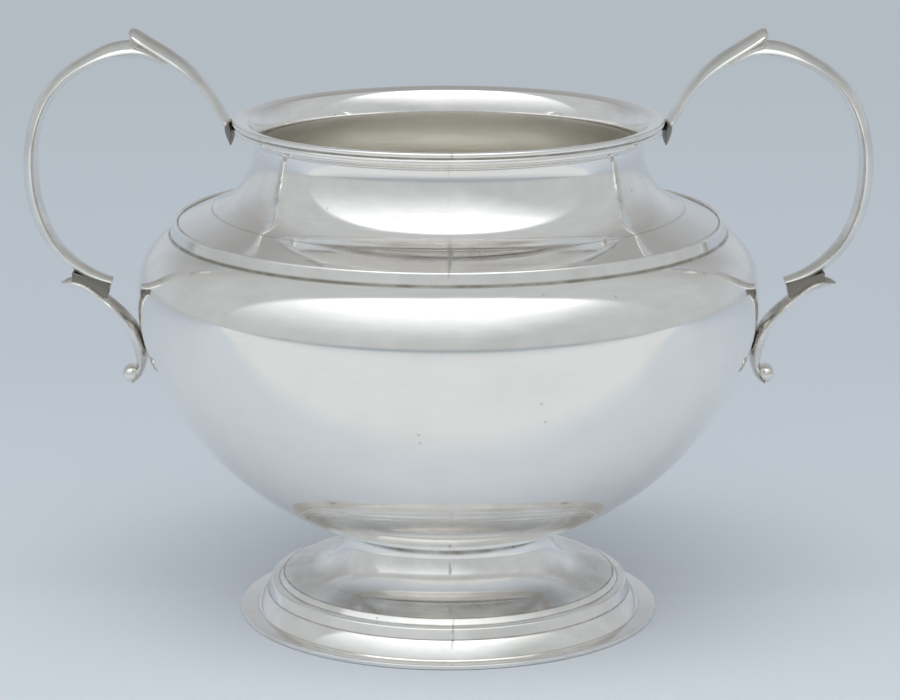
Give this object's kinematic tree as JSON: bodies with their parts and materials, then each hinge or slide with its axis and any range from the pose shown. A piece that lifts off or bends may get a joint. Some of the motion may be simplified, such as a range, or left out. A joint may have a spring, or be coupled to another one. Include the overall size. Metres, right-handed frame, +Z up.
{
  "type": "sugar bowl",
  "caption": "Round open silver sugar bowl with a waisted neck, moulded rim, stepped shoulder, two spurred scroll handles and a spreading stepped foot.",
  "frame": {"origin": "on the bowl's axis, in the plane of the foot's flat underside", "axes": "+Z up the bowl's axis, the two handles lie along +X and -X, the pictured side faces -Y"},
  "size_m": [0.1628, 0.12, 0.1141],
  "materials": {
    "silver_body": "polished silver, fine handling scratches",
    "silver_foot": "polished silver",
    "silver_handle": "polished cast silver, slightly warm"
  },
  "bodies": {
    "root": {"bowl": "silver_body", "shoulder_band": "silver_body", "neck": "silver_body", "rim_lip": "silver_body", "rim_wire": "silver_body", "foot_spool": "silver_foot", "foot_ring": "silver_foot", "foot_edge_wire": "silver_foot", "arm_right": "silver_handle", "arm_left": "silver_handle", "loop_right": "silver_handle", "loop_left": "silver_handle", "tail_right": "silver_handle", "tail_left": "silver_handle", "bracket_right": "silver_handle", "bracket_left": "silver_handle", "roll_right": "silver_handle", "roll_left": "silver_handle"}
  },
  "joints": []
}
